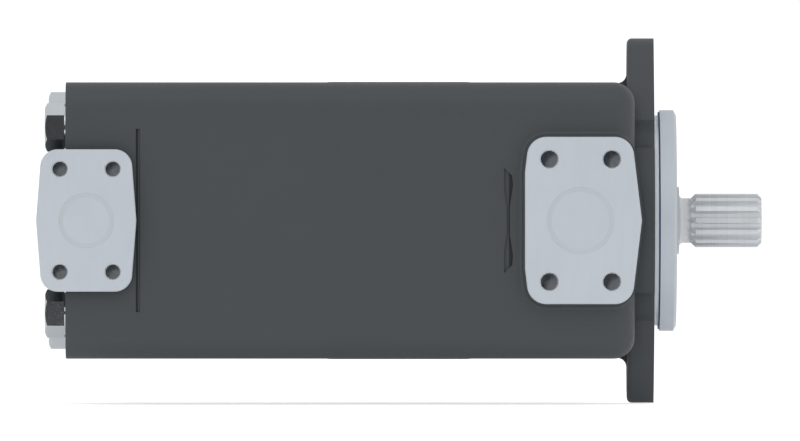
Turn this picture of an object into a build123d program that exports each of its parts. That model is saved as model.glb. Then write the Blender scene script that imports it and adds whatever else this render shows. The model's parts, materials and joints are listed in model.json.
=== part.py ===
from build123d import *
import math
import os

os.makedirs("parts", exist_ok=True)

# Double vane pump. X is the shaft axis, towards the drive end. Z is up along the flange ears.
# The pressure ports face -Y and the suction port faces +Y. The origin is the centre of the mounting face.

# ---------------------------------------------------------------- clearances
fit = 0.05                 # between pieces that are assembled one in the other
running = 0.05             # radial running clearance of a shaft, vane or race
side_play = 0.03           # axial clearance of rotor and vanes on each side
overhang_gap = 0.3         # under a pad that reaches over a joint

# ---------------------------------------------------------------- barrel and its joints
barrel_width = 158.0
barrel_height = 158.0
barrel_edge = 14.0
barrel_front = -11.7
barrel_nose = 12.0
front_joint = -84.3
rear_joint = -295.4
barrel_rear = -336.8
rear_edge = 0.6
joint_groove_width = 2.4
joint_groove_depth = 1.3
joint_groove_reach = 52.3
pry_slot_depth = 1.6

# ---------------------------------------------------------------- mounting flange and pilot
flange_thickness = 15.5
flange_disc = 68.0
ear_spacing = 181.0
ear_radius = 14.3
ear_hole = 17.5 / 2
ear_edge = 3.0
ear_web_width = 22.0
ear_web_radius = 5.6
pilot_radius = 127.0 / 2
pilot_length = 12.7
pilot_chamfer = 1.5
pilot_chamfer_drop = 2.7
relief_radius = 60.45
gasket_start = 2.4
gasket_end = 3.3
gasket_radius = 62.6

# ---------------------------------------------------------------- ports
pad_height = 8.0           # how far each machined pad stands out from the barrel's flat side
pad_plane = barrel_width / 2 + pad_height      # distance of each pad from the shaft axis
pad_thickness = 3.0
pad_edge = 0.5             # chamfer round a machined pad
boss_margin = 1.0          # how far the cast boss stands out around its pad
boss_fillet = 2.5          # where the boss meets the flat side of the barrel
block_fillet = 3.0         # where the rear port block meets the rear face

p1_x = -42.8
p1_half_width = 35.0
p1_half_height = 47.7
p1_taper = 0.12
p1_corner = 11.0
p1_clip = 31.7
p1_boss_root = 60.0
p1_bore = 19.1
p1_throat = 14.0
p1_bolts = (35.7, 69.9)
p1_thread = 10.8 / 2
p1_thread_depth = 27.0

p2_x = -324.8
p2_half_width = 28.6
p2_half_height = 40.6
p2_taper = 0.077
p2_corner = 10.0
p2_bore = 15.8
p2_throat = 12.0
p2_bolts = (30.2, 58.7)
p2_thread = 9.4 / 2
p2_thread_depth = 24.0
rear_block_half_height = 36.5
rear_block_depth = 84.0

suction_x = -146.6
suction_half_width = 66.2
suction_half_height = 80.2
suction_taper = 0.06
suction_corner = 24.0
suction_bore = 50.8
suction_throat = 38.0
suction_bolts = (77.8, 130.2)
suction_thread = 13.7 / 2
suction_thread_depth = 24.0

plug_depth = 10.0
plug_recess = 0.9
plug_bevel = 2.6

# ---------------------------------------------------------------- front bearing, its rings and the seal
bearing_inner = 20.0
bearing_outer = 40.0
bearing_width = 18.0
bearing_front = 9.3
race_wall = 6.5
ball_radius = 6.0
ball_count = 9
cage_wall = 4.0
cage_width = 14.0
housing_ring_thickness = 1.75
housing_ring_depth = 2.0
housing_ring_wall = 5.0
shaft_ring_thickness = 1.75
shaft_ring_depth = 1.4
shaft_ring_wall = 4.0
seal_seat = 29.5
seal_length = 10.0
seal_wall = 1.5
seal_lip_contact = 6.5     # from the seal's back face
garter_radius = 0.9

# ---------------------------------------------------------------- shaft
shaft_end = 62.0
spline_teeth = 14
spline_tip = 31.2 / 2
spline_root = 25.9 / 2
spline_land = 2.7
spline_start = 21.7
spline_chamfer = 2.5
neck_radius = 12.9
neck_fillet = 1.6
journal_radius = 19.4
journal_end = 14.6
journal_width = 2.2
bearing_shoulder = 23.0
bearing_shoulder_width = 3.3
middle_shaft = 17.5
rear_shaft = 15.0
p1_spline_root = 17.8
p2_spline_root = 15.6
inner_spline_land = 4.4
bush_length = 16.0
bush_wall = 4.0

# ---------------------------------------------------------------- chambers of the housings
web_bore = 21.0
web_rear = -34.0
p1_chamber = 44.0
suction_chamber = 45.0
p2_chamber = 34.0
p2_chamber_rear = -328.0
hub_rear = -348.8

# ---------------------------------------------------------------- pumping cartridges
vane_count = 10
minor_axis_angle = 18.0

p1_cartridge_front = -66.0
p1_plate = 16.0
p1_cam_width = 34.0
p1_cartridge_radius = 60.0
p1_rotor = 40.0
p1_minor = 40.5
p1_major = 45.5
p1_vane_height = 14.0
p1_vane = 2.4
p1_stud_circle = 52.5
p1_pin = 3.0

p2_cartridge_rear = -292.0
p2_plate = 14.0
p2_cam_width = 26.0
p2_cartridge_radius = 50.0
p2_rotor = 34.0
p2_minor = 34.5
p2_major = 38.8
p2_vane_height = 12.0
p2_vane = 2.2
p2_stud_circle = 43.6
p2_pin = 2.5

kidney_sweep = 44.0
kidney_width = 4.0
ring_section = 1.5         # radius of the sealing rings' cord
ring_side = 0.4            # side clearance of a sealing ring in its groove
ring_land = 2.0            # between a cartridge bore and the ring groove around it

# ---------------------------------------------------------------- fasteners
housing_screw = 8.0
housing_screw_land = 2.5   # between a screw's hole and the ring groove
housing_screw_head = 12.0
housing_screw_head_height = 16.0
housing_screw_length = 92.0
housing_screw_socket = 14.0
rear_bolt = 8.0
rear_bolt_head = 24.0
rear_bolt_head_height = 12.0
rear_bolt_collar = 0.8
rear_bolt_length = 66.0
rear_bolt_spot_face = 15.0
near_bolts = (-60.4, 53.2)
far_bolts = (53.2, 60.4)
screw_clearance = 0.5
screw_sink = 1.0           # socket head below the face
screw_head_chamfer = 1.0
hole_past_screw = 4.0      # how far a threaded hole runs past its screw
crown_radius = 11.4        # where the head's flat top meets its turned cone
crown_slope = 0.55

# ---------------------------------------------------------------- places worked out from them
bearing_rear = bearing_front - bearing_width
bearing_middle = bearing_front - bearing_width / 2
ball_circle = (bearing_inner + bearing_outer) / 2
seal_front = bearing_rear - 4.0
seal_rear = seal_front - seal_length
p1_plate_rear = p1_cartridge_front - p1_plate
p1_cam_rear = p1_plate_rear - p1_cam_width
p1_cartridge_rear = p1_cam_rear - p1_plate
p2_cam_rear = p2_cartridge_rear + p2_plate
p2_cam_front = p2_cam_rear + p2_cam_width
p2_cartridge_front = p2_cam_front + p2_plate
bush_front = p2_chamber_rear - 1.0
ring_groove_width = 2 * (ring_section + ring_side)
front_groove_radius = p1_cartridge_radius + ring_land + ring_groove_width
housing_screw_spot = (front_groove_radius + housing_screw_land + housing_screw) * math.sqrt(0.5)
front_screw_grip = barrel_front - screw_sink - housing_screw_head_height - front_joint
rear_bolt_places = [(y, up * z) for y, z in (near_bolts, far_bolts) for up in (-1, 1)]
front_screw_places = [
    (side * housing_screw_spot, up * housing_screw_spot) for side in (-1, 1) for up in (-1, 1)
]


def across(x):
    """Plane square to the shaft at x, facing the drive end: local x is Y, local y is Z."""
    return Plane((x, 0, 0), x_dir=(0, 1, 0), z_dir=(1, 0, 0))


def rearward(x):
    """Plane square to the shaft at x, facing away from the drive end: local x is Y, local y is -Z."""
    return Plane((x, 0, 0), x_dir=(0, 1, 0), z_dir=(-1, 0, 0))


def pressure_side(distance):
    """Plane parallel to the pressure pads, facing out of them: local x is X, local y is Z."""
    return Plane((0, -distance, 0), x_dir=(1, 0, 0), z_dir=(0, -1, 0))


def suction_side(distance):
    """Plane parallel to the suction pad, facing out of it."""
    return Plane((0, distance, 0), x_dir=(-1, 0, 0), z_dir=(0, 1, 0))


def drill(radius, depth):
    """Blind hole with a drill point, down from the current locations."""
    top = (Align.CENTER, Align.CENTER, Align.MAX)
    Cylinder(radius, depth, align=top, mode=Mode.SUBTRACT)
    with Locations((0, 0, -depth)):
        Cone(0, radius, radius * math.tan(math.radians(31)), align=top, mode=Mode.SUBTRACT)


def tapered_pad(half_width, half_height, taper, corner):
    """Pad outline, widest in the middle, with straight flanks that lean in and rounded corners."""
    tip = half_width - taper * half_height
    with BuildSketch() as outline:
        with BuildLine():
            Polyline(
                (half_width, 0),
                (tip, half_height),
                (-tip, half_height),
                (-half_width, 0),
                (-tip, -half_height),
                (tip, -half_height),
                close=True,
            )
        make_face()
        fillet(outline.vertices().group_by(Axis.Y)[0], corner)
        fillet(outline.vertices().group_by(Axis.Y)[-1], corner)
    return outline.sketch


def toothed_round(tip, root, land, grow):
    """Round with straight-sided teeth, one of them on the local x axis, grown outwards by grow."""
    half = math.degrees(math.asin((land / 2 + grow) / tip))
    foot = half * 1.45
    points = []
    for tooth in range(spline_teeth):
        centre = tooth * 360 / spline_teeth
        for radius, angle in ((root, -foot), (tip, -half), (tip, half), (root, foot)):
            turn = math.radians(centre + angle)
            points.append(((radius + grow) * math.cos(turn), (radius + grow) * math.sin(turn)))
    with BuildSketch() as outline:
        with BuildLine():
            Polyline(*points, close=True)
        make_face()
    return outline.sketch


def joint_groove(joint):
    """Box that cuts the groove along a joint line into both flat sides of the barrel."""
    for side in (-1, 1):
        with Locations((joint, side * barrel_width / 2, 0)):
            Box(joint_groove_width, 2 * joint_groove_depth, 2 * joint_groove_reach, mode=Mode.SUBTRACT)


def pry_slot_pair():
    """Outline of two lens-shaped pry slots and the slit between them, about a joint line on local y."""
    with BuildSketch() as outline:
        for up in (-1, 1):
            with BuildLine():
                Polyline(
                    (-0.6, 0),
                    (-0.6, up * 7.7),
                    (-2.1, up * 17.4),
                    (-2.1, up * 30),
                    (2.5, up * 25.6),
                    (3.0, up * 20),
                    (1.2, up * 7.7),
                    (1.2, 0),
                    close=True,
                )
            make_face()
    return outline.sketch


p1_outline = tapered_pad(p1_half_width, p1_half_height, p1_taper, p1_corner)
p1_boss_outline = tapered_pad(
    p1_half_width + boss_margin, p1_half_height + boss_margin, p1_taper, p1_corner + boss_margin
)
p2_outline = tapered_pad(p2_half_width, p2_half_height, p2_taper, p2_corner)
p2_block_outline = tapered_pad(p2_half_width - boss_margin, rear_block_half_height, p2_taper, p2_corner)
suction_outline = tapered_pad(suction_half_width, suction_half_height, suction_taper, suction_corner)
pry_outline = pry_slot_pair()

# ================================================================ front housing
with BuildPart() as front_housing:
    with BuildSketch(across(front_joint)):
        RectangleRounded(barrel_width, barrel_height, barrel_edge)
    extrude(amount=barrel_front - front_joint)
    fillet(front_housing.faces().sort_by(Axis.X)[-1].edges(), barrel_nose)
    # cast boss and machined pad of the front cartridge's pressure port
    with BuildSketch(pressure_side(p1_boss_root)):
        with Locations((p1_x, 0)):
            add(p1_boss_outline)
        with Locations((p1_x - p1_clip - boss_margin, 0)):
            Rectangle(
                p1_half_width, 4 * p1_half_height, align=(Align.MAX, Align.CENTER), mode=Mode.SUBTRACT
            )
    extrude(amount=pad_plane - pad_thickness - p1_boss_root)
    on_side = front_housing.edges().filter_by_position(
        Axis.Y, -barrel_width / 2 - fit, -barrel_width / 2 + fit
    )
    boss_root = on_side.filter_by(lambda edge: abs(edge.center().Z) < p1_half_height + boss_margin + fit)
    fillet(boss_root.filter_by(lambda edge: edge.center().X > front_joint + fit), boss_fillet)
    with BuildSketch(pressure_side(pad_plane - pad_thickness)):
        with Locations((p1_x, 0)):
            add(p1_outline)
        with Locations((p1_x - p1_clip, 0)):
            Rectangle(
                p1_half_width, 4 * p1_half_height, align=(Align.MAX, Align.CENTER), mode=Mode.SUBTRACT
            )
    extrude(amount=pad_thickness)
    chamfer(front_housing.faces().sort_by(Axis.Y)[0].edges(), pad_edge)
    # two-ear flange
    with BuildSketch(across(-flange_thickness)) as flange_outline:
        Circle(flange_disc)
        with Locations((0, ear_spacing / 2), (0, -ear_spacing / 2)):
            Circle(ear_radius)
        make_hull()
    extrude(amount=flange_thickness)
    rounds = front_housing.edges().filter_by(GeomType.CIRCLE)
    fillet(rounds.filter_by(lambda edge: edge.radius == ear_radius).group_by(Axis.X)[0], ear_edge)
    # webs that run from the ears down to the barrel
    with BuildSketch(pressure_side(-ear_web_width / 2)):
        for up in (-1, 1):
            with BuildLine():
                foot = (-flange_thickness - ear_web_radius, up * barrel_height / 2)
                head = (-flange_thickness, up * (barrel_height / 2 + ear_web_radius))
                RadiusArc(foot, head, -up * ear_web_radius)
                Polyline(
                    head,
                    (-flange_thickness + 2, up * (barrel_height / 2 + ear_web_radius)),
                    (-flange_thickness + 2, up * (barrel_height / 2 - barrel_nose)),
                    (-flange_thickness - ear_web_radius, up * (barrel_height / 2 - barrel_nose)),
                    foot,
                )
            make_face()
    extrude(amount=ear_web_width)
    # pilot with the relief behind it
    with BuildSketch(Plane.XZ):
        with BuildLine():
            Polyline(
                (-flange_thickness, 0),
                (-flange_thickness, relief_radius),
                (gasket_end, relief_radius),
                (gasket_end, pilot_radius),
                (pilot_length - pilot_chamfer, pilot_radius),
                (pilot_length, pilot_radius - pilot_chamfer_drop),
                (pilot_length, 0),
                close=True,
            )
        make_face()
    revolve(axis=Axis.X)
    # everything that is bored on the shaft axis
    with BuildSketch(Plane.XZ):
        with BuildLine():
            Polyline(
                (pilot_length, 0),
                (pilot_length, bearing_outer + fit),
                (bearing_front + housing_ring_thickness + fit, bearing_outer + fit),
                (bearing_front + housing_ring_thickness + fit, bearing_outer + housing_ring_depth),
                (bearing_front, bearing_outer + housing_ring_depth),
                (bearing_front, bearing_outer + fit),
                (bearing_rear, bearing_outer + fit),
                (bearing_rear, seal_seat + fit),
                (seal_rear, seal_seat + fit),
                (seal_rear, web_bore),
                (web_rear, web_bore),
                (web_rear, p1_chamber),
                (p1_cartridge_front + fit, p1_chamber),
                (p1_cartridge_front + fit, p1_cartridge_radius + fit),
                (front_joint, p1_cartridge_radius + fit),
                (front_joint, 0),
                close=True,
            )
        make_face()
    revolve(axis=Axis.X, mode=Mode.SUBTRACT)
    # pressure port with its four blind threaded holes
    with Locations(pressure_side(pad_plane)):
        with Locations((p1_x, 0)):
            CounterBoreHole(p1_throat, p1_bore, plug_depth, pad_plane - bearing_outer)
            with GridLocations(p1_bolts[0], p1_bolts[1], 2, 2):
                drill(p1_thread, p1_thread_depth)
    # flange holes and the counterbored holes of the screws to the centre housing
    with BuildSketch(across(0)):
        with Locations((0, ear_spacing / 2), (0, -ear_spacing / 2)):
            Circle(ear_hole)
    extrude(amount=-flange_thickness - ear_web_radius, mode=Mode.SUBTRACT)
    with Locations(across(barrel_front)):
        with Locations(*front_screw_places):
            CounterBoreHole(
                housing_screw + screw_clearance,
                housing_screw_head + screw_clearance,
                housing_screw_head_height + screw_sink,
                barrel_front - front_joint,
            )
    # its half of the pry slots on the joint line
    with BuildSketch(pressure_side(barrel_width / 2)):
        with Locations((front_joint, 0)):
            add(pry_outline)
    extrude(amount=-pry_slot_depth, mode=Mode.SUBTRACT)
front_housing.part.label = "front_housing"
export_step(front_housing.part, "parts/front_housing.step")

# ================================================================ centre housing
with BuildPart() as centre_housing:
    with BuildSketch(across(rear_joint)):
        RectangleRounded(barrel_width, barrel_height, barrel_edge)
    extrude(amount=front_joint - rear_joint)
    # suction pad on the far side, which reaches over the front joint without touching the front housing
    with BuildSketch(suction_side(barrel_width / 2 - barrel_edge)):
        with Locations((-suction_x, 0)):
            add(suction_outline)
        with Locations((-front_joint, 0)):
            Rectangle(
                suction_half_width,
                4 * suction_half_height,
                align=(Align.MAX, Align.CENTER),
                mode=Mode.SUBTRACT,
            )
    extrude(amount=barrel_edge + overhang_gap)
    with BuildSketch(suction_side(barrel_width / 2 + overhang_gap)):
        with Locations((-suction_x, 0)):
            add(suction_outline)
    extrude(amount=pad_plane - barrel_width / 2 - overhang_gap)
    chamfer(centre_housing.faces().sort_by(Axis.Y)[-1].edges(), pad_edge)
    # bores of both cartridges and the suction chamber between them
    with BuildSketch(Plane.XZ):
        with BuildLine():
            Polyline(
                (front_joint, 0),
                (front_joint, p1_cartridge_radius + fit),
                (p1_cartridge_rear - fit, p1_cartridge_radius + fit),
                (p1_cartridge_rear - fit, suction_chamber),
                (p2_cartridge_front + fit, suction_chamber),
                (p2_cartridge_front + fit, p2_cartridge_radius + fit),
                (rear_joint, p2_cartridge_radius + fit),
                (rear_joint, 0),
                close=True,
            )
        make_face()
    revolve(axis=Axis.X, mode=Mode.SUBTRACT)
    # sealing ring grooves in both joint faces
    for joint, bore, inward in (
        (front_joint, p1_cartridge_radius, -1),
        (rear_joint, p2_cartridge_radius, 1),
    ):
        with BuildSketch(across(joint)):
            Circle(bore + ring_land + ring_groove_width)
            Circle(bore + ring_land, mode=Mode.SUBTRACT)
        extrude(amount=inward * (2 * ring_section + fit), mode=Mode.SUBTRACT)
    # suction port with its four blind threaded holes
    with Locations(suction_side(pad_plane)):
        with Locations((-suction_x, 0)):
            CounterBoreHole(suction_throat, suction_bore, plug_depth, pad_plane - suction_chamber / 2)
            with GridLocations(suction_bolts[0], suction_bolts[1], 2, 2):
                drill(suction_thread, suction_thread_depth)
    # threaded holes of the screws and bolts that close the two joints
    with Locations(across(front_joint)):
        with Locations(*front_screw_places):
            drill(housing_screw + fit, housing_screw_length - front_screw_grip + hole_past_screw)
    with Locations(rearward(rear_joint)):
        with Locations(*rear_bolt_places):
            drill(rear_bolt + fit, rear_bolt_length - (rear_joint - barrel_rear) + hole_past_screw)
    # its halves of the pry slots and of the groove along the rear joint
    with BuildSketch(pressure_side(barrel_width / 2)):
        with Locations((front_joint, 0)):
            add(pry_outline)
    extrude(amount=-pry_slot_depth, mode=Mode.SUBTRACT)
    joint_groove(rear_joint)
centre_housing.part.label = "centre_housing"
export_step(centre_housing.part, "parts/centre_housing.step")

# ================================================================ rear cap
with BuildPart() as rear_cap:
    with BuildSketch(across(barrel_rear)):
        RectangleRounded(barrel_width, barrel_height, barrel_edge)
    extrude(amount=rear_joint - barrel_rear)
    fillet(rear_cap.faces().sort_by(Axis.X)[0].edges(), rear_edge)
    # port block that stands out behind the rear face, and the hub of the rear bush
    with BuildSketch(pressure_side(0)):
        with Locations((p2_x, 0)):
            add(p2_block_outline)
        with Locations((barrel_rear + rear_edge + 2, 0)):
            Rectangle(
                4 * p2_half_width, 4 * p2_half_height, align=(Align.MIN, Align.CENTER), mode=Mode.SUBTRACT
            )
    extrude(amount=rear_block_depth)
    with BuildSketch(across(barrel_rear + rear_edge + 2)):
        Circle(rear_block_half_height)
    extrude(amount=hub_rear - barrel_rear - rear_edge - 2)
    on_rear_face = rear_cap.edges().filter_by_position(Axis.X, barrel_rear - fit, barrel_rear + fit)
    block_root = on_rear_face.filter_by(lambda edge: abs(edge.center().Z) < rear_block_half_height + fit)
    block_root = block_root.filter_by(lambda edge: abs(edge.center().Y) < barrel_width / 2 - barrel_edge)
    fillet(block_root, block_fillet)
    # machined pad of the rear cartridge's pressure port on its cast boss
    with BuildSketch(pressure_side(barrel_width / 2 - 2)):
        with Locations((p2_x, 0)):
            add(p2_outline)
    extrude(amount=pad_plane - barrel_width / 2 + 2)
    chamfer(rear_cap.faces().sort_by(Axis.Y)[0].edges(), pad_edge)
    # pressure chamber and the seat of the bush
    with BuildSketch(Plane.XZ):
        with BuildLine():
            Polyline(
                (rear_joint, 0),
                (rear_joint, p2_chamber),
                (p2_chamber_rear, p2_chamber),
                (p2_chamber_rear, rear_shaft + bush_wall + fit),
                (bush_front - bush_length, rear_shaft + bush_wall + fit),
                (bush_front - bush_length, 0),
                close=True,
            )
        make_face()
    revolve(axis=Axis.X, mode=Mode.SUBTRACT)
    with Locations(pressure_side(pad_plane)):
        with Locations((p2_x, 0)):
            CounterBoreHole(p2_throat, p2_bore, plug_depth, pad_plane - p2_chamber + 6)
            with GridLocations(p2_bolts[0], p2_bolts[1], 2, 2):
                drill(p2_thread, p2_thread_depth)
    # bolt holes, with spot faces where the block comes near the heads
    with Locations(rearward(barrel_rear)):
        with Locations(*rear_bolt_places):
            Hole(rear_bolt + screw_clearance, rear_joint - barrel_rear)
            Cylinder(
                rear_bolt_spot_face,
                rear_bolt_head_height + 1,
                align=(Align.CENTER, Align.CENTER, Align.MIN),
                mode=Mode.SUBTRACT,
            )
    # its half of the groove along the joint
    joint_groove(rear_joint)
rear_cap.part.label = "rear_cap"
export_step(rear_cap.part, "parts/rear_cap.step")

# ================================================================ drive shaft
with BuildPart() as shaft:
    with BuildSketch(Plane.XZ):
        with BuildLine():
            Polyline(
                (shaft_end, 0),
                (shaft_end, spline_root),
                (spline_start, spline_root),
                (spline_start, neck_radius),
                (journal_end + neck_fillet, neck_radius),
                (journal_end, neck_radius + neck_fillet),
                (journal_end, journal_radius),
                (journal_end - journal_width, journal_radius),
                (journal_end - journal_width, bearing_inner),
                (bearing_front + shaft_ring_thickness + fit, bearing_inner),
                (bearing_front + shaft_ring_thickness + fit, bearing_inner - shaft_ring_depth),
                (bearing_front, bearing_inner - shaft_ring_depth),
                (bearing_front, bearing_inner),
                (bearing_rear, bearing_inner),
                (bearing_rear, bearing_shoulder),
                (bearing_rear - bearing_shoulder_width, bearing_shoulder),
                (bearing_rear - bearing_shoulder_width, bearing_inner),
                (p1_plate_rear - side_play, bearing_inner),
                (p1_plate_rear - side_play, p1_spline_root),
                (p1_cam_rear + side_play, p1_spline_root),
                (p1_cam_rear + side_play, middle_shaft),
                (p2_cam_front - side_play, middle_shaft),
                (p2_cam_front - side_play, p2_spline_root),
                (p2_cam_rear + side_play, p2_spline_root),
                (p2_cam_rear + side_play, rear_shaft),
                (bush_front - bush_length + 1, rear_shaft),
                (bush_front - bush_length + 1, 0),
                close=True,
            )
        make_face()
    revolve(axis=Axis.X)
    # drive spline, a tooth facing the pressure side, with its free end turned down to a cone
    with BuildSketch(across(spline_start)):
        add(toothed_round(spline_tip, spline_root, spline_land, 0).rotate(Axis.Z, 180))
    extrude(amount=shaft_end - spline_start)
    with BuildSketch(Plane.XZ):
        with BuildLine():
            Polyline(
                (shaft_end, spline_tip - spline_chamfer),
                (shaft_end, spline_tip),
                (shaft_end - spline_chamfer, spline_tip),
                close=True,
            )
        make_face()
    revolve(axis=Axis.X, mode=Mode.SUBTRACT)
    # splines that drive the two rotors
    for start, end, tip, root in (
        (p1_cam_rear + side_play, p1_plate_rear - side_play, bearing_inner, p1_spline_root),
        (p2_cam_rear + side_play, p2_cam_front - side_play, middle_shaft, p2_spline_root),
    ):
        with BuildSketch(across(start)):
            add(toothed_round(tip, root, inner_spline_land, 0))
        extrude(amount=end - start)
shaft.part.label = "shaft"
export_step(shaft.part, "parts/shaft.step")

# ================================================================ front ball bearing
with BuildPart() as bearing_outer_race:
    with BuildSketch(Plane.XZ):
        with Locations((bearing_middle, bearing_outer - race_wall / 2)):
            Rectangle(bearing_width, race_wall)
        with Locations((bearing_middle, ball_circle)):
            Circle(ball_radius + running, mode=Mode.SUBTRACT)
    revolve(axis=Axis.X)
bearing_outer_race.part.label = "bearing_outer_race"
export_step(bearing_outer_race.part, "parts/bearing_outer_race.step")

with BuildPart() as bearing_inner_race:
    with BuildSketch(Plane.XZ):
        with Locations((bearing_middle, bearing_inner + race_wall / 2)):
            Rectangle(bearing_width, race_wall)
        with Locations((bearing_middle, ball_circle)):
            Circle(ball_radius + running, mode=Mode.SUBTRACT)
    revolve(axis=Axis.X)
bearing_inner_race.part.label = "bearing_inner_race"
export_step(bearing_inner_race.part, "parts/bearing_inner_race.step")

with BuildPart() as bearing_balls:
    with Locations(across(bearing_middle)):
        with PolarLocations(ball_circle, ball_count):
            Sphere(ball_radius)
bearing_balls.part.label = "bearing_balls"
export_step(bearing_balls.part, "parts/bearing_balls.step")

with BuildPart() as bearing_cage:
    with BuildSketch(across(bearing_middle - cage_width / 2)):
        Circle(ball_circle + cage_wall / 2)
        Circle(ball_circle - cage_wall / 2, mode=Mode.SUBTRACT)
    extrude(amount=cage_width)
    with Locations(across(bearing_middle)):
        with PolarLocations(ball_circle, ball_count):
            Cylinder(
                ball_radius + 3 * running, 3 * cage_wall, rotation=(0, 90, 0), mode=Mode.SUBTRACT
            )
bearing_cage.part.label = "bearing_cage"
export_step(bearing_cage.part, "parts/bearing_cage.step")

# ================================================================ snap rings of the bearing
with BuildPart() as housing_snap_ring:
    with BuildSketch(across(bearing_front)):
        Circle(bearing_outer + housing_ring_depth - fit)
        Circle(bearing_outer + housing_ring_depth - housing_ring_wall, mode=Mode.SUBTRACT)
        for lean in (-1, 1):
            with Locations((lean * 5.5, bearing_outer - housing_ring_wall + 0.5)):
                Circle(3.4)
            with Locations((lean * 5.5, bearing_outer - housing_ring_wall + 0.5)):
                Circle(1.25, mode=Mode.SUBTRACT)
        with Locations((0, bearing_outer)):
            Rectangle(5, 4 * housing_ring_wall, mode=Mode.SUBTRACT)
    extrude(amount=housing_ring_thickness)
housing_snap_ring.part.label = "housing_snap_ring"
export_step(housing_snap_ring.part, "parts/housing_snap_ring.step")

with BuildPart() as shaft_snap_ring:
    with BuildSketch(across(bearing_front)):
        Circle(bearing_inner - shaft_ring_depth + shaft_ring_wall)
        Circle(bearing_inner - shaft_ring_depth + fit, mode=Mode.SUBTRACT)
        with Locations((0, bearing_inner)):
            Rectangle(4, 4 * shaft_ring_wall, mode=Mode.SUBTRACT)
    extrude(amount=shaft_ring_thickness)
shaft_snap_ring.part.label = "shaft_snap_ring"
export_step(shaft_snap_ring.part, "parts/shaft_snap_ring.step")

# ================================================================ shaft seal
seal_floor = bearing_inner + 3.0
with BuildPart() as shaft_seal_case:
    with BuildSketch(Plane.XZ):
        with BuildLine():
            Polyline(
                (seal_front, seal_seat),
                (seal_front, seal_seat - seal_wall),
                (seal_rear + seal_wall, seal_seat - seal_wall),
                (seal_rear + seal_wall, seal_floor),
                (seal_rear, seal_floor),
                (seal_rear, seal_seat),
                close=True,
            )
        make_face()
    revolve(axis=Axis.X)
shaft_seal_case.part.label = "shaft_seal_case"
export_step(shaft_seal_case.part, "parts/shaft_seal_case.step")

lip_x = seal_rear + seal_lip_contact
with BuildPart() as shaft_seal_lip:
    with BuildSketch(Plane.XZ):
        with BuildLine():
            Polyline(
                (seal_rear + seal_wall, seal_seat - seal_wall),
                (seal_rear + seal_wall, bearing_inner + 1.4),
                (lip_x, bearing_inner + running),
                (lip_x + 1.6, bearing_inner + 1.2),
                (lip_x + 1.6, bearing_inner + 2.0),
                (lip_x - 1.6, bearing_inner + 2.0),
                (seal_rear + seal_wall + 1.5, seal_floor),
                (seal_rear + seal_wall + 1.5, seal_seat - seal_wall),
                close=True,
            )
        make_face()
    revolve(axis=Axis.X)
shaft_seal_lip.part.label = "shaft_seal_lip"
export_step(shaft_seal_lip.part, "parts/shaft_seal_lip.step")

with BuildPart() as shaft_seal_spring:
    with BuildSketch(Plane.XZ):
        with Locations((lip_x, bearing_inner + 2.0 + garter_radius + fit)):
            Circle(garter_radius)
    revolve(axis=Axis.X)
shaft_seal_spring.part.label = "shaft_seal_spring"
export_step(shaft_seal_spring.part, "parts/shaft_seal_spring.step")

# ================================================================ pilot gasket and rear bush
with BuildPart() as pilot_gasket:
    with BuildSketch(across(gasket_start)):
        Circle(gasket_radius)
        Circle(relief_radius + fit, mode=Mode.SUBTRACT)
    extrude(amount=gasket_end - gasket_start)
pilot_gasket.part.label = "pilot_gasket"
export_step(pilot_gasket.part, "parts/pilot_gasket.step")

with BuildPart() as rear_bush:
    with BuildSketch(across(bush_front)):
        Circle(rear_shaft + bush_wall)
        Circle(rear_shaft + running, mode=Mode.SUBTRACT)
    extrude(amount=-bush_length)
rear_bush.part.label = "rear_bush"
export_step(rear_bush.part, "parts/rear_bush.step")

# ================================================================ joint sealing rings
for name, joint, bore, inward in (
    ("front_joint_ring", front_joint, p1_cartridge_radius, -1),
    ("rear_joint_ring", rear_joint, p2_cartridge_radius, 1),
):
    with BuildPart() as joint_ring:
        with BuildSketch(Plane.XZ):
            groove_middle = bore + ring_land + ring_groove_width / 2
            with Locations((joint + inward * (ring_section + fit / 2), groove_middle)):
                Circle(ring_section)
        revolve(axis=Axis.X)
    joint_ring.part.label = name
    export_step(joint_ring.part, f"parts/{name}.step")


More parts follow.
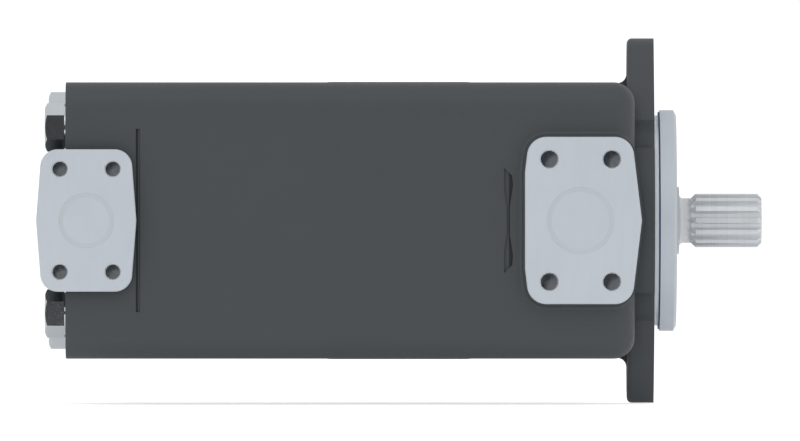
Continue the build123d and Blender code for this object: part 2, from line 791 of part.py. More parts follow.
# ================================================================ pumping cartridges
# name, pressure plate's outer face, direction into the cartridge, plate, cam width, outside radius,
# rotor radius, minor and major cam radius, vane height and thickness, stud circle, pin, shaft tip and root
cartridges = (
    (
        "p1", p1_cartridge_front, -1, p1_plate, p1_cam_width, p1_cartridge_radius, p1_rotor, p1_minor,
        p1_major, p1_vane_height, p1_vane, p1_stud_circle, p1_pin, bearing_inner, p1_spline_root,
    ),
    (
        "p2", p2_cartridge_rear, 1, p2_plate, p2_cam_width, p2_cartridge_radius, p2_rotor, p2_minor,
        p2_major, p2_vane_height, p2_vane, p2_stud_circle, p2_pin, middle_shaft, p2_spline_root,
    ),
)
for (
    pump, outer_face, inward, plate, cam_width, outside, rotor_radius, minor, major, vane_height,
    vane_thickness, stud_circle, pin, shaft_tip, shaft_root,
) in cartridges:
    cam_start = outer_face + inward * plate
    cam_end = cam_start + inward * cam_width
    inner_face = cam_end + inward * plate
    rotor_start = cam_start + inward * side_play
    rotor_width = cam_width - 2 * side_play

    with BuildPart() as cam_ring:
        with BuildSketch(across(cam_start)):
            Circle(outside - 0.5)
            Ellipse(minor, major, rotation=minor_axis_angle, mode=Mode.SUBTRACT)
            with PolarLocations(stud_circle, 4, start_angle=minor_axis_angle):
                Circle(pin + fit, mode=Mode.SUBTRACT)
        extrude(amount=inward * cam_width)
    cam_ring.part.label = f"{pump}_cam_ring"
    export_step(cam_ring.part, f"parts/{pump}_cam_ring.step")

    with BuildPart() as rotor:
        with BuildSketch(across(rotor_start)):
            Circle(rotor_radius)
            add(toothed_round(shaft_tip, shaft_root, inner_spline_land, fit), mode=Mode.SUBTRACT)
            with PolarLocations(rotor_radius, vane_count):
                Rectangle(
                    2 * (vane_height + fit), vane_thickness + 2 * running, mode=Mode.SUBTRACT
                )
            with PolarLocations(rotor_radius - vane_height - fit, vane_count):
                Circle(vane_thickness / 2 + 6 * running, mode=Mode.SUBTRACT)
        extrude(amount=inward * rotor_width)
    rotor.part.label = f"{pump}_rotor"
    export_step(rotor.part, f"parts/{pump}_rotor.step")

    for number in range(vane_count):
        with BuildPart() as vane:
            with BuildSketch(across(rotor_start)):
                with PolarLocations(rotor_radius - vane_height / 2, 1, start_angle=number * 360 / vane_count):
                    Rectangle(vane_height, vane_thickness)
            extrude(amount=inward * rotor_width)
        vane.part.label = f"{pump}_vane_{number + 1:02d}"
        export_step(vane.part, f"parts/{pump}_vane_{number + 1:02d}.step")

    # the plate that faces the pressure chamber carries the sealing ring
    with BuildPart() as pressure_plate:
        with BuildSketch(across(outer_face)):
            Circle(outside)
            Circle(shaft_tip + 0.6, mode=Mode.SUBTRACT)
            with PolarLocations(stud_circle, 4, start_angle=minor_axis_angle):
                Circle(pin + fit, mode=Mode.SUBTRACT)
            for side in (0, 180):
                turn = minor_axis_angle + 35 + side - kidney_sweep / 2
                kidney = CenterArc((0, 0), minor + 1, turn, kidney_sweep, mode=Mode.PRIVATE)
                SlotArc(kidney, kidney_width, mode=Mode.SUBTRACT)
        extrude(amount=inward * plate)
        with BuildSketch(Plane.XZ):
            with Locations((outer_face + inward * plate / 2, outside - ring_section - fit / 2)):
                Rectangle(2 * (ring_section + ring_side), 2 * ring_section + fit)
        revolve(axis=Axis.X, mode=Mode.SUBTRACT)
    pressure_plate.part.label = f"{pump}_pressure_plate"
    export_step(pressure_plate.part, f"parts/{pump}_pressure_plate.step")

    with BuildPart() as plate_ring:
        with BuildSketch(Plane.XZ):
            with Locations((outer_face + inward * plate / 2, outside - ring_section)):
                Circle(ring_section)
        revolve(axis=Axis.X)
    plate_ring.part.label = f"{pump}_plate_ring"
    export_step(plate_ring.part, f"parts/{pump}_plate_ring.step")

    with BuildPart() as suction_plate:
        with BuildSketch(across(cam_end)):
            Circle(outside)
            Circle(shaft_tip + 0.6, mode=Mode.SUBTRACT)
            with PolarLocations(stud_circle, 4, start_angle=minor_axis_angle):
                Circle(pin + fit, mode=Mode.SUBTRACT)
            for side in (0, 180):
                turn = minor_axis_angle - 35 + side - kidney_sweep / 2
                kidney = CenterArc((0, 0), minor + 1, turn, kidney_sweep, mode=Mode.PRIVATE)
                SlotArc(kidney, kidney_width, mode=Mode.SUBTRACT)
        extrude(amount=inward * plate)
    suction_plate.part.label = f"{pump}_suction_plate"
    export_step(suction_plate.part, f"parts/{pump}_suction_plate.step")

    # two dowel pins and two slotted screws hold the cartridge together
    with BuildPart() as dowels:
        with BuildSketch(across(outer_face + inward)):
            with PolarLocations(stud_circle, 2, start_angle=minor_axis_angle):
                Circle(pin)
        extrude(amount=inward * (abs(inner_face - outer_face) - 2))
    dowels.part.label = f"{pump}_dowel_pins"
    export_step(dowels.part, f"parts/{pump}_dowel_pins.step")

    with BuildPart() as screws:
        with BuildSketch(across(outer_face + inward)):
            with PolarLocations(stud_circle, 2, start_angle=minor_axis_angle + 90):
                Circle(pin)
        extrude(amount=inward * (abs(inner_face - outer_face) - 2))
    screws.part.label = f"{pump}_cartridge_screws"
    export_step(screws.part, f"parts/{pump}_cartridge_screws.step")

# ================================================================ fasteners of the housings
with BuildPart() as hex_bolt:
    with BuildSketch(Plane.XY.offset(rear_bolt_collar)):
        RegularPolygon(rear_bolt_head / 2, 6, major_radius=False, rotation=30)
    extrude(amount=rear_bolt_head_height - rear_bolt_collar)
    # the corners of the head are turned down to a cone
    with BuildSketch(Plane.XZ):
        with BuildLine():
            Polyline(
                (0, 0),
                (rear_bolt_head, 0),
                (rear_bolt_head, rear_bolt_head_height - crown_slope * (rear_bolt_head - crown_radius)),
                (crown_radius, rear_bolt_head_height),
                (0, rear_bolt_head_height),
                close=True,
            )
        make_face()
    revolve(axis=Axis.Z, mode=Mode.INTERSECT)
    Cylinder(rear_bolt_head / 2, rear_bolt_collar, align=(Align.CENTER, Align.CENTER, Align.MIN))
    Cylinder(rear_bolt, rear_bolt_length, align=(Align.CENTER, Align.CENTER, Align.MAX))

with BuildPart() as rear_cap_bolts:
    with Locations(rearward(barrel_rear)):
        with Locations(*rear_bolt_places):
            add(hex_bolt.part)
rear_cap_bolts.part.label = "rear_cap_bolts"
export_step(rear_cap_bolts.part, "parts/rear_cap_bolts.step")

with BuildPart() as socket_screw:
    Cylinder(
        housing_screw_head, housing_screw_head_height, align=(Align.CENTER, Align.CENTER, Align.MIN)
    )
    chamfer(socket_screw.edges().sort_by(Axis.Z)[-1], screw_head_chamfer)
    with BuildSketch(Plane.XY.offset(housing_screw_head_height)):
        RegularPolygon(housing_screw_socket / 2, 6, major_radius=False)
    extrude(amount=-housing_screw_head_height / 2, mode=Mode.SUBTRACT)
    Cylinder(housing_screw, housing_screw_length, align=(Align.CENTER, Align.CENTER, Align.MAX))

with BuildPart() as front_housing_screws:
    with Locations(across(barrel_front - housing_screw_head_height - screw_sink)):
        with Locations(*front_screw_places):
            add(socket_screw.part)
front_housing_screws.part.label = "front_housing_screws"
export_step(front_housing_screws.part, "parts/front_housing_screws.step")

# ================================================================ port plugs
for name, plane, centre, bore in (
    ("p1_port_plug", pressure_side(pad_plane - plug_depth), p1_x, p1_bore),
    ("p2_port_plug", pressure_side(pad_plane - plug_depth), p2_x, p2_bore),
    ("suction_port_plug", suction_side(pad_plane - plug_depth), -suction_x, suction_bore),
):
    with BuildPart() as plug:
        with BuildSketch(plane):
            with Locations((centre, 0)):
                Circle(bore - fit)
        extrude(amount=plug_depth)
        with Locations(plane):
            with Locations((centre, 0, plug_depth - plug_recess)):
                Cone(
                    bore - fit - plug_bevel,
                    bore - fit,
                    plug_recess,
                    align=(Align.CENTER, Align.CENTER, Align.MIN),
                    mode=Mode.SUBTRACT,
                )
    plug.part.label = name
    export_step(plug.part, f"parts/{name}.step")
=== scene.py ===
import json
import math

import bmesh
import bpy
from mathutils import Matrix, Vector


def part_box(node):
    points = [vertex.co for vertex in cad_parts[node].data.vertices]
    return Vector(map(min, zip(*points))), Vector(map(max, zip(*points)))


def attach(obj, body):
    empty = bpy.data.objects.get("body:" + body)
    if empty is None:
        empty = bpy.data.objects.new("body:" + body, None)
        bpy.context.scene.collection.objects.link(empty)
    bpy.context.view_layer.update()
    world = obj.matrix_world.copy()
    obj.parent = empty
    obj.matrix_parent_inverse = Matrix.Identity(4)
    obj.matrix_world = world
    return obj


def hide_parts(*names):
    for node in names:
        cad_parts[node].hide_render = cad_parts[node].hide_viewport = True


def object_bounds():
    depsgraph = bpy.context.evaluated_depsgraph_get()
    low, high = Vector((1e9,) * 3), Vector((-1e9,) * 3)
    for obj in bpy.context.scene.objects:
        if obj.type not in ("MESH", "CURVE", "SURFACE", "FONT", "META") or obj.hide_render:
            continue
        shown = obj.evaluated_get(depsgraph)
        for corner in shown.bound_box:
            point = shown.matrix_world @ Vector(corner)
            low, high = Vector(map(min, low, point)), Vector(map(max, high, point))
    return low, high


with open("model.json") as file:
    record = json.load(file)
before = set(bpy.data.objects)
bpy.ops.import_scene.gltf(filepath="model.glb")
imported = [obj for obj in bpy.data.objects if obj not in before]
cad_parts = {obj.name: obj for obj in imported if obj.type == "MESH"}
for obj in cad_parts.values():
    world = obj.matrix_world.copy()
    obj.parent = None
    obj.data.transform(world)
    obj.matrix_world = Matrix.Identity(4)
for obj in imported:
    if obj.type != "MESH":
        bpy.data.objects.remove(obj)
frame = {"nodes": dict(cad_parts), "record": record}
cad_low, cad_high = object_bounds()
record = frame["record"]

# ------------------------------------------------------------------ places, in metres, from the frame
MM = 0.001
mounts = {mount["name"]: mount for mount in record["mounts"]}
FRONT_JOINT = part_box("centre_housing")[1][0]
REAR_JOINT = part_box("rear_cap")[1][0]
BARREL_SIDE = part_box("rear_cap")[1][2]    # its top, and its flat sides too, because the barrel is square
PAD_PLANE = -mounts["p1_port_bolts"]["pos_m"][1]
PAD_SLAB = 2.8 * MM                  # how much of a pressure pad's height is machined
SUCTION_PLANE = mounts["suction_port_bolts"]["pos_m"][1]
SUCTION_SLAB = 7.0 * MM              # how much of the suction pad's height is machined
FACE_X = mounts["mounting_bolts"]["pos_m"][0]
FACE_MARGIN = 0.3 * MM               # how far behind the mounting face its bare metal begins
PILOT_STEP = FACE_X + 2.4 * MM       # where the relief behind the pilot ends
GROOVE_REACH = 53.0 * MM             # of the grooves on the joint lines, up and down from the axis
GROOVE_HALF_WIDTH = 3.2 * MM
SHADE_START_DEPTH = 0.02 * MM              # depth at which the painted shade in a groove begins
SHADE_FULL_DEPTH = 0.12 * MM             # depth at which the painted shade is full
HOLE_MARGIN = 0.3 * MM               # how far round a port hole its bare walls are looked for
HOLE_MOUTH = 0.55 * MM               # depth at which they begin
HOLE_BOTTOM = 40.0 * MM              # deeper than every port hole
SHARP = 0.02 * MM                    # width of the border between paint and bare metal
SQUARE_ON = 0.5                      # least forward part of the direction of a surface that looks forward
FLAT = 0.98                          # least outward part of the direction of a plug's flat face
ROUND_STEPS = 96                     # sides of a full circle in what is made here

# of the port holes' threads, in millimetres
THREAD_PITCHES = {"p1_port_bolts": 1.954, "p2_port_bolts": 1.814, "suction_port_bolts": 2.309}
THREAD_DEPTHS = {"p1_port_bolts": 27.0, "p2_port_bolts": 24.0, "suction_port_bolts": 24.0}


def port_holes(port):
    """Centre, hole-to-hole distances and radius of a port's threaded holes, in metres."""
    place = mounts[port]["pos_m"]
    dims = mounts[port]["dims"]
    return place, dims["spacing_x_mm"] * MM, dims["spacing_y_mm"] * MM, dims["hole_r_mm"] * MM


# ------------------------------------------------------------------ shader helpers
NOISE_LOW, NOISE_HIGH = 0.3, 0.7     # nearly all of a noise's values lie between these


class Shader:
    """A material under construction: a Principled shader and helpers that add nodes to it."""

    def __init__(self, name, color, roughness, metallic=0.0):
        self.material = bpy.data.materials.new(name)
        self.material.use_nodes = True
        self.tree = self.material.node_tree
        self.nodes = self.tree.nodes
        self.surface = self.nodes["Principled BSDF"]
        self.surface.inputs["Base Color"].default_value = (*color, 1)
        self.surface.inputs["Roughness"].default_value = roughness
        self.surface.inputs["Metallic"].default_value = metallic
        self.place = self.add("ShaderNodeTexCoord").outputs["Object"]

    def add(self, kind, **settings):
        node = self.nodes.new(kind)
        for key, value in settings.items():
            setattr(node, key, value)
        return node

    def link(self, source, target):
        self.tree.links.new(source, target)

    def math(self, operation, first, second=None):
        node = self.add("ShaderNodeMath", operation=operation)
        for socket, value in zip(node.inputs, (first, second)):
            if isinstance(value, (int, float)):
                socket.default_value = value
            elif value is not None:
                self.link(value, socket)
        return node.outputs[0]

    def both(self, *masks):
        product = masks[0]
        for mask in masks[1:]:
            product = self.math("MULTIPLY", product, mask)
        return product

    def either(self, *masks):
        largest = masks[0]
        for mask in masks[1:]:
            largest = self.math("MAXIMUM", largest, mask)
        return largest

    def stretched(self, x=1.0, y=1.0, z=1.0):
        node = self.add("ShaderNodeMapping")
        node.inputs["Scale"].default_value = (x, y, z)
        self.link(self.place, node.inputs["Vector"])
        return node.outputs[0]

    def noise(self, scale, detail=4.0, roughness=0.55, place=None):
        node = self.add("ShaderNodeTexNoise")
        node.inputs["Scale"].default_value = scale
        node.inputs["Detail"].default_value = detail
        node.inputs["Roughness"].default_value = roughness
        self.link(place or self.place, node.inputs["Vector"])
        return node.outputs["Fac"]

    def ramp(self, noise, low, high):
        """From low to high as the noise runs over its values; a plain number stands for a grey."""
        node = self.add("ShaderNodeValToRGB")
        for element, position, color in zip(node.color_ramp.elements, (NOISE_LOW, NOISE_HIGH), (low, high)):
            element.position = position
            grey = isinstance(color, (int, float))
            element.color = (color, color, color, 1) if grey else (*color, 1)
        self.link(noise, node.inputs["Fac"])
        return node.outputs["Color"]

    def mottle(self, noise, color, spread):
        """The colour, darker and lighter by spread as the noise runs over its values."""
        return self.ramp(noise, shade(color, 1 - spread), shade(color, 1 + spread))

    def blend(self, factor, first, second):
        node = self.add("ShaderNodeMix", data_type="RGBA")
        for socket, value in ((node.inputs[0], factor), (node.inputs[6], first), (node.inputs[7], second)):
            if isinstance(value, (int, float)):
                socket.default_value = value
            elif isinstance(value, tuple):
                socket.default_value = (*value, 1)
            else:
                self.link(value, socket)
        return node.outputs[2]

    def step(self, value, low, high):
        """0 below low, 1 above high, smooth between."""
        node = self.add("ShaderNodeMapRange", interpolation_type="SMOOTHSTEP")
        node.inputs["From Min"].default_value = low
        node.inputs["From Max"].default_value = high
        self.link(value, node.inputs["Value"])
        return node.outputs[0]

    def color(self, value):
        self.link(value, self.surface.inputs["Base Color"])

    def roughness(self, value):
        self.link(value, self.surface.inputs["Roughness"])

    def metallic(self, value):
        self.link(value, self.surface.inputs["Metallic"])

    def bump(self, *layers):
        """Bump layers of (height, strength, depth in metres), one on another."""
        normal = None
        for height, strength, depth in layers:
            node = self.add("ShaderNodeBump")
            node.inputs["Distance"].default_value = depth
            if isinstance(strength, (int, float)):
                node.inputs["Strength"].default_value = strength
            else:
                self.link(strength, node.inputs["Strength"])
            self.link(height, node.inputs["Height"])
            if normal is not None:
                self.link(normal, node.inputs["Normal"])
            normal = node.outputs["Normal"]
        self.link(normal, self.surface.inputs["Normal"])

    def axes(self):
        node = self.add("ShaderNodeSeparateXYZ")
        self.link(self.place, node.inputs[0])
        return node.outputs

    def facing(self):
        """The surface's own direction, as its three parts."""
        geometry = self.add("ShaderNodeNewGeometry")
        node = self.add("ShaderNodeSeparateXYZ")
        self.link(geometry.outputs["True Normal"], node.inputs[0])
        return node.outputs


def shade(color, factor):
    return tuple(min(1.0, factor * part) for part in color)


# ------------------------------------------------------------------ where the castings are machined
def pressure_pad(s):
    """1 on the slab of the pressure pads."""
    depth = s.math("MULTIPLY", s.axes()[1], -1.0)
    paint_line = PAD_PLANE - PAD_SLAB
    return s.step(depth, paint_line - SHARP, paint_line)


def front_faces(s):
    """1 on the front housing's pad, pilot and mounting face."""
    x = s.axes()[0]
    pilot = s.step(x, FACE_X + SHARP, FACE_X + 2 * SHARP)
    near_face = s.step(x, FACE_X - FACE_MARGIN, FACE_X - FACE_MARGIN + SHARP)
    face = s.both(near_face, s.math("GREATER_THAN", s.facing()[0], SQUARE_ON))
    return s.either(pressure_pad(s), pilot, face)


def relief(s):
    """1 on the narrow undercut between the mounting face and the pilot, where light is painted."""
    x = s.axes()[0]
    return s.both(s.math("GREATER_THAN", x, FACE_X + SHARP), s.math("LESS_THAN", x, PILOT_STEP))


def turned(s):
    """1 on the pilot, in front of its relief."""
    return s.math("GREATER_THAN", s.axes()[0], PILOT_STEP)


def suction_pad(s):
    """1 on the slab of the suction pad."""
    paint_line = SUCTION_PLANE - SUCTION_SLAB
    return s.step(s.axes()[1], paint_line - SHARP, paint_line)


def port_hole_walls(s, port):
    """1 inside a port's threaded holes, below their mouths."""
    place, across, up, radius = port_holes(port)
    x, y, z = s.axes()
    off_x = s.math("SUBTRACT", s.math("ABSOLUTE", s.math("SUBTRACT", x, place[0])), across / 2)
    off_z = s.math("SUBTRACT", s.math("ABSOLUTE", z), up / 2)
    away = s.math("SQRT", s.math("ADD", s.math("MULTIPLY", off_x, off_x), s.math("MULTIPLY", off_z, off_z)))
    within = s.math("LESS_THAN", away, radius + HOLE_MARGIN)
    depth = s.math("SUBTRACT", abs(place[1]), s.math("MULTIPLY", y, math.copysign(1.0, place[1])))
    return s.both(within, s.math("GREATER_THAN", depth, HOLE_MOUTH), s.math("LESS_THAN", depth, HOLE_BOTTOM))


def painted_groove_shade(s, joint):
    """1 in the grooves and slots on a joint line of the barrel's flat sides, rising with depth: where shade
    is painted.
    """
    x, y, z = s.axes()
    near = s.math("LESS_THAN", s.math("ABSOLUTE", s.math("SUBTRACT", x, joint)), GROOVE_HALF_WIDTH)
    along = s.math("LESS_THAN", s.math("ABSOLUTE", z), GROOVE_REACH)
    depth = s.math("SUBTRACT", BARREL_SIDE, s.math("ABSOLUTE", y))
    return s.both(near, along, s.step(depth, SHADE_START_DEPTH, SHADE_FULL_DEPTH))


# ------------------------------------------------------------------ materials
PAINT = (0.0475, 0.0545, 0.0595)
BARE = (0.515, 0.558, 0.605)
# painted shade: darker steel for the plug's tilted bevel
PAINTED_BEVEL_SHADE = (0.475, 0.525, 0.56)
# painted light: near-white steel for the relief undercut, lighter than the bare faces, to lift the shade in
# it
PAINTED_RELIEF_LIGHT = (0.92, 0.95, 0.98)
# bare steel of the port holes, partly painted light: lighter than the bare faces, to lift the shade in the
# holes
BORE_STEEL_AND_PAINTED_LIGHT = (0.74, 0.77, 0.80)
# painted shade: near-black paint for the joint grooves and slots
PAINTED_GROOVE_SHADE = (0.006, 0.0085, 0.0095)


def casting_material(name, machined, holes, joint):
    """Satin grey paint over cast iron, bare where it is machined; painted shade darkens the grooves, and
    painted light lightens the relief and the bare steel of the holes.
    """
    s = Shader(name, PAINT, roughness=0.5)
    grain = s.noise(420, detail=6.0, roughness=0.62)
    speck = s.noise(1500, detail=2.0, roughness=0.5)
    cloud = s.noise(9, detail=4.0, roughness=0.6)
    paint = s.blend(0.4, s.mottle(cloud, PAINT, spread=0.06), s.mottle(grain, PAINT, spread=0.12))
    # painted shade: the paint turns near-black in the joint grooves and slots, more with depth
    grooves = painted_groove_shade(s, joint)
    paint = s.blend(grooves, paint, PAINTED_GROOVE_SHADE)

    mask = machined(s)
    bore = holes(s)
    milled = s.noise(900, detail=2.0, roughness=0.5, place=s.stretched(z=0.06))
    stains = s.noise(38, detail=5.0, roughness=0.6)
    bare = s.blend(0.25, s.mottle(stains, BARE, spread=0.025), s.mottle(milled, BARE, spread=0.04))
    # painted light: the relief undercut takes a near-white colour in place of its shade
    bare = s.blend(relief(s), bare, PAINTED_RELIEF_LIGHT)
    # inside the port holes: bare steel, made lighter than the bare faces as painted light
    bare = s.blend(bore, bare, BORE_STEEL_AND_PAINTED_LIGHT)
    bare_or_bore = s.either(mask, bore)
    s.color(s.blend(bare_or_bore, paint, bare))
    finish = s.blend(mask, s.ramp(grain, 0.46, 0.6), s.ramp(milled, 0.42, 0.52))
    s.roughness(s.blend(bore, finish, s.ramp(grain, 0.16, 0.24)))
    shares = ((mask, 0.12), (turned(s), 0.2), (bore, 0.15))
    s.metallic(s.either(*(s.math("MULTIPLY", where, share) for where, share in shares)))
    painted = s.math("SUBTRACT", 1.0, bare_or_bore)
    s.bump(
        (grain, s.math("MULTIPLY", painted, 0.35), 0.25 * MM),
        (speck, s.math("MULTIPLY", painted, 0.12), 0.1 * MM),
        (milled, s.math("MULTIPLY", mask, 0.12), 0.05 * MM),
    )
    return s.material


def turned_steel(name, color, roughness, metallic, ring_scale=700.0):
    """Steel turned or ground round the X axis: rings along the axis, faint spots and cloudy shine."""
    s = Shader(name, color, roughness, metallic)
    rings = s.noise(ring_scale, detail=2.0, roughness=0.5, place=s.stretched(y=0.02, z=0.02))
    cloud = s.noise(60, detail=4.0, roughness=0.55)
    s.color(s.blend(0.5, s.mottle(cloud, color, spread=0.05), s.mottle(rings, color, spread=0.08)))
    s.roughness(s.ramp(cloud, 0.9 * roughness, 1.15 * roughness))
    s.bump((rings, 0.12, 0.05 * MM))
    return s.material


def fine_finish(name, color, roughness, metallic, grain_scale=500.0, bump=0.15, spread=0.1):
    """Fine-grained finish with mottled colour, for rubber, oxide and plated pieces."""
    s = Shader(name, color, roughness, metallic)
    grain = s.noise(grain_scale, detail=5.0, roughness=0.6)
    cloud = s.noise(45, detail=3.0, roughness=0.5)
    s.color(s.blend(0.5, s.mottle(cloud, color, spread), s.mottle(grain, color, spread)))
    s.roughness(s.ramp(grain, 0.85 * roughness, min(1.0, 1.2 * roughness)))
    s.bump((grain, bump, 0.1 * MM))
    return s.material


def plug_material():
    """Milled closing disc, with painted shade: the bevel round it is coloured slightly darker."""
    s = Shader("plug_metal", BARE, roughness=0.45, metallic=0.12)
    grain = s.noise(900, detail=5.0, roughness=0.6)
    stains = s.noise(45, detail=3.0, roughness=0.5)
    milled = s.blend(0.5, s.mottle(stains, BARE, spread=0.03), s.mottle(grain, BARE, spread=0.03))
    # painted shade: faces tilted off the plug's flat face, its bevel, get a darker colour
    bevel = s.math("LESS_THAN", s.math("ABSOLUTE", s.facing()[1]), FLAT)
    s.color(s.blend(bevel, milled, PAINTED_BEVEL_SHADE))
    s.roughness(s.ramp(grain, 0.38, 0.54))
    s.bump((grain, 0.04, 0.1 * MM))
    return s.material


front_casting = casting_material(
    "front_casting", front_faces, lambda s: port_hole_walls(s, "p1_port_bolts"), FRONT_JOINT
)
centre_casting = casting_material(
    "centre_casting", suction_pad, lambda s: port_hole_walls(s, "suction_port_bolts"), FRONT_JOINT
)
rear_casting = casting_material(
    "rear_casting", pressure_pad, lambda s: port_hole_walls(s, "p2_port_bolts"), REAR_JOINT
)
shaft_steel = turned_steel("shaft_steel", (0.655, 0.68, 0.705), roughness=0.4, metallic=0.4)
bearing_steel = turned_steel(
    "bearing_steel", (0.72, 0.73, 0.75), roughness=0.16, metallic=1.0, ring_scale=1200.0
)
ball_steel = fine_finish(
    "ball_steel", (0.75, 0.76, 0.78), roughness=0.08, metallic=1.0, grain_scale=900.0, bump=0.02, spread=0.04
)
cage_steel = fine_finish("cage_steel", (0.42, 0.4, 0.36), roughness=0.35, metallic=0.9)
spring_steel = fine_finish("spring_steel", (0.07, 0.072, 0.076), roughness=0.34, metallic=0.7)
seal_rubber = fine_finish("seal_rubber", (0.02, 0.02, 0.022), roughness=0.55, metallic=0.0)
blue_seal = fine_finish("blue_seal", (0.001, 0.04, 0.12), roughness=0.5, metallic=0.0)
bronze = turned_steel("bush_bronze", (0.55, 0.37, 0.18), roughness=0.3, metallic=0.85)
ground_steel = turned_steel("ground_steel", (0.55, 0.56, 0.58), roughness=0.25, metallic=0.85)
bolt_black = fine_finish(
    "bolt_black", (0.57, 0.605, 0.64), roughness=0.12, metallic=1.0, grain_scale=700.0, bump=0.02, spread=0.05
)
# thread ridges in the port holes: the same lightened colour, partly painted light
thread_steel = fine_finish(
    "thread_steel", BORE_STEEL_AND_PAINTED_LIGHT, roughness=0.25, metallic=0.5, grain_scale=900.0, bump=0.03, spread=0.05
)
plug_metal = plug_material()

NODE_MATERIALS = {
    "front_housing": front_casting,
    "centre_housing": centre_casting,
    "rear_cap": rear_casting,
    "shaft": shaft_steel,
    "bearing_balls": ball_steel,
    "bearing_cage": cage_steel,
    "shaft_seal_lip": seal_rubber,
    "pilot_gasket": blue_seal,
}
SLOT_MATERIALS = {
    "bearing_steel": bearing_steel,
    "spring_steel": spring_steel,
    "seal_steel": cage_steel,
    "seal_rubber": seal_rubber,
    "bush_bronze": bronze,
    "cartridge_steel": ground_steel,
    "vane_steel": ground_steel,
    "bolt_black": bolt_black,
    "plug_grey": plug_metal,
}
slot_of = {entry["node"]: entry["material_slot"] for entry in record["subparts"]}
for node, piece in frame["nodes"].items():
    look = NODE_MATERIALS.get(node) or SLOT_MATERIALS[slot_of[node]]
    piece.data.materials.clear()
    piece.data.materials.append(look)

# ------------------------------------------------------------------ drive spline
spline = mounts["drive_spline"]
SPLINE_REAR = spline["pos_m"][0] - spline["dims"]["length_mm"] * MM
SPLINE_TIP = spline["dims"]["r_mm"] * MM
SPLINE_BEVEL = 2.5 * MM
CUT_PAST = 0.5 * MM                  # how far the cutter reaches past what it cuts
WELD_DISTANCE = 0.001 * MM
CREASE_ANGLE = math.radians(22)      # edges sharper than this stay sharp


def bevel_cutter():
    """Ring with a three-cornered section, round the rear end of the spline's teeth."""
    ring = bmesh.new()
    corners = (
        (SPLINE_REAR - CUT_PAST, SPLINE_TIP - SPLINE_BEVEL - CUT_PAST),
        (SPLINE_REAR - CUT_PAST, SPLINE_TIP + 2 * CUT_PAST),
        (SPLINE_REAR + SPLINE_BEVEL + 2 * CUT_PAST, SPLINE_TIP + 2 * CUT_PAST),
    )
    loops = []
    for index in range(ROUND_STEPS):
        angle = 2 * math.pi * index / ROUND_STEPS
        loops.append([ring.verts.new((x, r * math.cos(angle), r * math.sin(angle))) for x, r in corners])
    for index, first in enumerate(loops):
        second = loops[(index + 1) % ROUND_STEPS]
        for a, b in ((0, 1), (1, 2), (2, 0)):
            ring.faces.new((first[a], first[b], second[b], second[a]))
    bmesh.ops.recalc_face_normals(ring, faces=ring.faces)
    mesh = bpy.data.meshes.new("bevel_cutter")
    ring.to_mesh(mesh)
    ring.free()
    cutter = bpy.data.objects.new("bevel_cutter", mesh)
    bpy.context.collection.objects.link(cutter)
    return cutter


def bevelled_shaft():
    """The drive shaft with the rear end of its spline turned down to a cone as well."""
    whole = bmesh.new()
    whole.from_mesh(frame["nodes"]["shaft"].data)
    bmesh.ops.remove_doubles(whole, verts=whole.verts, dist=WELD_DISTANCE)
    mesh = bpy.data.meshes.new("drive_shaft")
    whole.to_mesh(mesh)
    whole.free()
    shaft = bpy.data.objects.new("drive_shaft", mesh)
    bpy.context.collection.objects.link(shaft)
    cutter = bevel_cutter()
    cut = shaft.modifiers.new("bevel", "BOOLEAN")
    cut.operation = "DIFFERENCE"
    cut.solver = "EXACT"
    cut.object = cutter
    graph = bpy.context.evaluated_depsgraph_get()
    shaft.data = bpy.data.meshes.new_from_object(shaft.evaluated_get(graph))
    shaft.modifiers.clear()
    bpy.data.objects.remove(cutter)
    shaft.data.materials.clear()
    shaft.data.materials.append(shaft_steel)
    shaft.data.polygons.foreach_set("use_smooth", [True] * len(shaft.data.polygons))
    shaft.data.set_sharp_from_angle(angle=CREASE_ANGLE)
    return shaft


drive_shaft = bevelled_shaft()
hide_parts("shaft")
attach(drive_shaft, "shaft")

# ------------------------------------------------------------------ threads of the port holes
THREAD_HEIGHT = 0.55 * MM
THREAD_START = 1.2 * MM              # depth at which the ridge starts
THREAD_HALF_BASE = 0.44              # half the ridge's width at the wall, in pitches
STEPS_PER_TURN = 24
RUN_OUT_STEPS = 6                    # over which the ridge rises and falls at its ends


def thread_ridge(mesh, centre, outward, radius, pitch, depth):
    """Adds one helical ridge on the wall of a hole that opens at centre, along Y in the outward direction."""
    turns = (depth - THREAD_START - pitch) / pitch
    steps = int(turns * STEPS_PER_TURN)
    rings = []
    for index in range(steps + 1):
        angle = 2 * math.pi * index / STEPS_PER_TURN
        down = THREAD_START + pitch * index / STEPS_PER_TURN
        rise = THREAD_HEIGHT * min(1.0, index / RUN_OUT_STEPS, (steps - index) / RUN_OUT_STEPS)
        ring = []
        for reach, along in ((radius, -THREAD_HALF_BASE), (radius - rise, 0.0), (radius, THREAD_HALF_BASE)):
            ring.append(mesh.verts.new((
                centre[0] + reach * math.cos(angle),
                centre[1] - outward * (down + along * pitch),
                centre[2] + reach * math.sin(angle),
            )))
        rings.append(ring)
    for first, second in zip(rings, rings[1:]):
        for low in (0, 1):
            mesh.faces.new((first[low], first[low + 1], second[low + 1], second[low]))


def port_threads(port, pitch, depth):
    """The thread ridges of a port's four holes, as one piece."""
    place, across, up, radius = port_holes(port)
    ridges = bmesh.new()
    for side in (-1, 1):
        for height in (-1, 1):
            centre = (place[0] + side * across / 2, place[1], place[2] + height * up / 2)
            outward = math.copysign(1.0, place[1])
            thread_ridge(ridges, centre, outward, radius, pitch, depth)
    bmesh.ops.recalc_face_normals(ridges, faces=ridges.faces)
    mesh = bpy.data.meshes.new(port.replace("bolts", "threads"))
    ridges.to_mesh(mesh)
    ridges.free()
    mesh.materials.append(thread_steel)
    threads = bpy.data.objects.new(mesh.name, mesh)
    bpy.context.collection.objects.link(threads)
    return threads


for port, pitch in THREAD_PITCHES.items():
    threads = port_threads(port, pitch * MM, THREAD_DEPTHS[port] * MM)
    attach(threads, "casing")

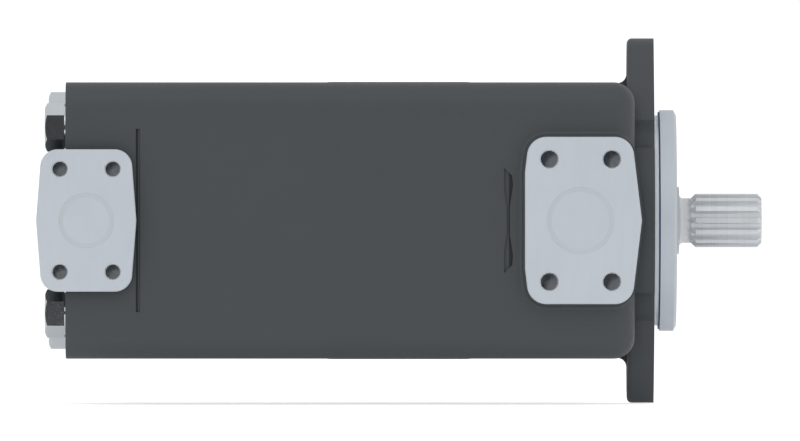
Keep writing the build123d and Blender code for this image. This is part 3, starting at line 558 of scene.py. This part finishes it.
# ------------------------------------------------------------------ floor, world, lights and camera
MIDDLE = Vector(((cad_low[0] + cad_high[0]) / 2, 0, 0))
FLOOR = cad_low[2] - 0.5 * MM
FLOOR_RADIUS = 0.75
FLOOR_PAINT = (0.82, 0.82, 0.82)
FLOOR_GLOW = 0.25
FLOOR_WHITENING = 0.35               # for the camera alone, so that the floor is as white as the backdrop
BACKDROP = 1.15                      # brightness of the world as the camera sees it
SURROUND = 0.84                      # its brightness as light and in reflections
DARK_PATCH = 0.07                    # the same, in the patch towards -Y
PATCH_CORE, PATCH_EDGE = -0.985, -0.955    # Y parts of the directions between which the patch fades out
CAMERA_DISTANCE = 10.4
CAMERA_REACH = 100.0
SENSOR_MM = 36.0
VIEW_CENTRE_X = -0.1458
VIEW_WIDTH = 0.4582
MATCHED_DEPTH = 0.043                # plane in front of the axis on which the picture is VIEW_WIDTH wide


def make_floor():
    disc = bmesh.new()
    bmesh.ops.create_circle(
        disc,
        cap_ends=True,
        segments=ROUND_STEPS,
        radius=FLOOR_RADIUS,
        matrix=Matrix.Translation((MIDDLE.x, 0, FLOOR)),
    )
    mesh = bpy.data.meshes.new("floor")
    disc.to_mesh(mesh)
    disc.free()
    floor = bpy.data.objects.new("floor", mesh)
    bpy.context.collection.objects.link(floor)
    s = Shader("floor_paint", FLOOR_PAINT, roughness=0.9)
    s.color(s.mottle(s.noise(3), FLOOR_PAINT, spread=0.01))
    s.surface.inputs["Emission Color"].default_value = (1, 1, 1, 1)
    path = s.add("ShaderNodeLightPath")
    seen = s.math("MULTIPLY", path.outputs["Is Camera Ray"], FLOOR_WHITENING)
    s.link(s.math("ADD", seen, FLOOR_GLOW), s.surface.inputs["Emission Strength"])
    mesh.materials.append(s.material)


def make_world():
    """White all round for the camera. For light and reflections, white with a dark patch towards -Y."""
    world = bpy.data.worlds.new("studio")
    bpy.context.scene.world = world
    world.use_nodes = True
    nodes, links = world.node_tree.nodes, world.node_tree.links
    background = nodes["Background"]
    place = nodes.new("ShaderNodeTexCoord")
    split = nodes.new("ShaderNodeSeparateXYZ")
    links.new(place.outputs["Generated"], split.inputs[0])
    spread = nodes.new("ShaderNodeMapRange")
    spread.interpolation_type = "SMOOTHSTEP"
    spread.inputs["From Min"].default_value = PATCH_CORE
    spread.inputs["From Max"].default_value = PATCH_EDGE
    spread.inputs["To Min"].default_value = DARK_PATCH
    spread.inputs["To Max"].default_value = SURROUND
    links.new(split.outputs[1], spread.inputs["Value"])
    path = nodes.new("ShaderNodeLightPath")
    pick = nodes.new("ShaderNodeMix")
    pick.data_type = "FLOAT"
    links.new(path.outputs["Is Camera Ray"], pick.inputs[0])
    links.new(spread.outputs[0], pick.inputs[2])
    pick.inputs[3].default_value = BACKDROP
    background.inputs["Color"].default_value = (1, 1, 1, 1)
    links.new(pick.outputs[0], background.inputs["Strength"])


def make_light(name, place, size, power, mirrored=True):
    """Rectangular light aimed at the part's middle; mirrored says whether it shows in reflections."""
    data = bpy.data.lights.new(name, "AREA")
    data.shape = "RECTANGLE"
    data.size, data.size_y = size
    data.energy = power
    light = bpy.data.objects.new(name, data)
    light.location = place
    light.rotation_mode = "QUATERNION"
    light.rotation_quaternion = (MIDDLE - Vector(place)).to_track_quat("-Z", "Y")
    light.visible_camera = False
    light.visible_glossy = mirrored
    bpy.context.collection.objects.link(light)


def make_camera():
    """Long lens from the photograph's side, so far off that the picture is nearly orthographic."""
    data = bpy.data.cameras.new("camera")
    data.sensor_width = SENSOR_MM
    data.lens = SENSOR_MM * (CAMERA_DISTANCE - MATCHED_DEPTH) / VIEW_WIDTH
    data.clip_end = CAMERA_REACH
    camera = bpy.data.objects.new("camera", data)
    camera.location = (VIEW_CENTRE_X, -CAMERA_DISTANCE, 0.0)
    camera.rotation_euler = (math.radians(90), 0, 0)
    bpy.context.collection.objects.link(camera)
    bpy.context.scene.camera = camera
    bpy.context.scene.view_settings.view_transform = "Standard"


make_floor()
make_world()
make_light("key", place=(MIDDLE.x - 0.2, -2.2, 2.6), size=(2.2, 1.6), power=5.0)
make_light("fill", place=(MIDDLE.x - 0.5, -5.0, 0.5), size=(0.5, 0.5), power=38.0, mirrored=False)
make_camera()
